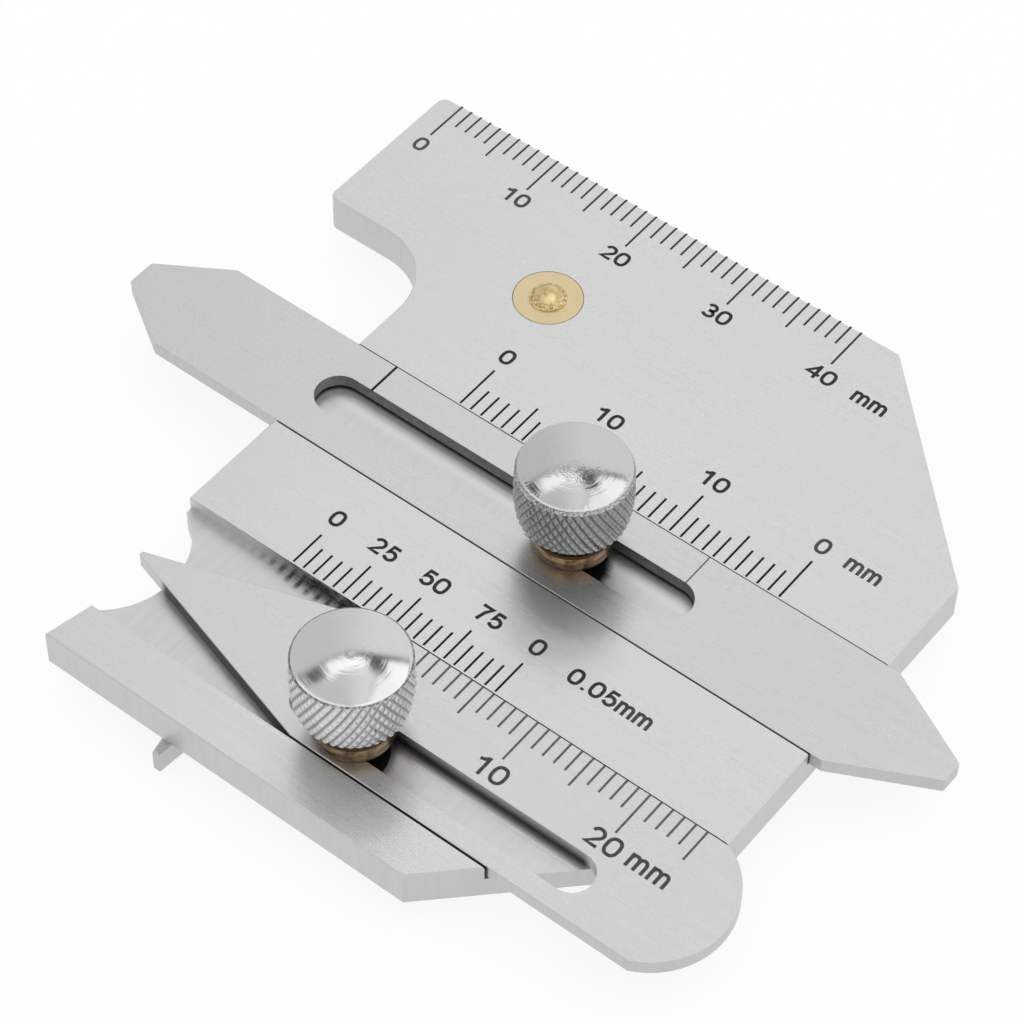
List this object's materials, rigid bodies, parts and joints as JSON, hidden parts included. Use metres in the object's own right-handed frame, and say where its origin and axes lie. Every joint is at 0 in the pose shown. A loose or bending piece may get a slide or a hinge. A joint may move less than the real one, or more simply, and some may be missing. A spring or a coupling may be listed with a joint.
{
  "type": "weld gauge",
  "caption": "Pocket sliding weld gauge: jawed steel plate with vernier and millimetre scales, locking blade, undercut slider and a pivoting rear rule.",
  "frame": {"origin": "on the pivot rivet's axis, in the back plane of the rear rule, on which the gauge lies", "axes": "+X along the scales towards the 45 degree nose, +Y towards the edge with the 40 mm scale, +Z out of the graduated face"},
  "size_m": [0.0769, 0.0628, 0.0147],
  "materials": {
    "plate_steel": "fine straight grain along the scales",
    "blade_steel": "fine straight grain along the blade",
    "slider_steel": "fine straight grain along the slider",
    "rule_steel": "ground along the rule",
    "stud_steel": "turned",
    "rivet_brass": "pressed and lightly pitted",
    "disc_brass": "faced flat",
    "washer_brass": "turned, slightly tarnished",
    "knob_plating": "nickel-plated, diamond knurled, turned top"
  },
  "bodies": {
    "gauge_body": {"main_plate": "plate_steel", "pivot_rivet": "rivet_brass", "pivot_disc": "disc_brass", "pivot_back_washer": "disc_brass", "pivot_spring_washer": "stud_steel", "upper_stud": "stud_steel", "lower_stud": "stud_steel"},
    "height_blade": {"height_blade": "blade_steel"},
    "undercut_slider": {"undercut_slider": "slider_steel"},
    "rear_rule": {"rear_rule": "rule_steel"},
    "upper_washer": {"upper_washer": "washer_brass"},
    "upper_knob": {"upper_knob": "knob_plating"},
    "lower_washer": {"lower_washer": "washer_brass"},
    "lower_knob": {"lower_knob": "knob_plating"}
  },
  "joints": [
    {"name": "blade_slide", "type": "slide", "parent": "gauge_body", "child": "height_blade", "axis": [1, 0, 0], "range_m": [-0.00888, 0.02254]},
    {"name": "slider_slide", "type": "slide", "parent": "gauge_body", "child": "undercut_slider", "axis": [1, 0, 0], "range_m": [-0.0195, 0.0037]},
    {"name": "rule_pivot", "type": "hinge", "parent": "gauge_body", "child": "rear_rule", "pos_m": [0, 0, 0.0011], "axis": [0, 0, 1], "continuous": true},
    {"name": "upper_washer_lift", "type": "slide", "parent": "gauge_body", "child": "upper_washer", "axis": [0, 0, 1], "range_m": [0, 0.001]},
    {"name": "upper_knob_turn", "type": "hinge", "parent": "upper_washer", "child": "upper_knob", "pos_m": [0.01625, -0.0181, 0.0074], "axis": [0, 0, 1], "range_deg": [0, 360]},
    {"name": "lower_washer_lift", "type": "slide", "parent": "gauge_body", "child": "lower_washer", "axis": [0, 0, 1], "range_m": [0, 0.001]},
    {"name": "lower_knob_turn", "type": "hinge", "parent": "lower_washer", "child": "lower_knob", "pos_m": [0.0146, -0.0415, 0.0074], "axis": [0, 0, 1], "range_deg": [0, 360]}
  ],
  "couplings": [
    {"joint": "upper_washer_lift", "follows": "upper_knob_turn", "m_per_rad": 0.000079577},
    {"joint": "lower_washer_lift", "follows": "lower_knob_turn", "m_per_rad": 0.000079577}
  ]
}
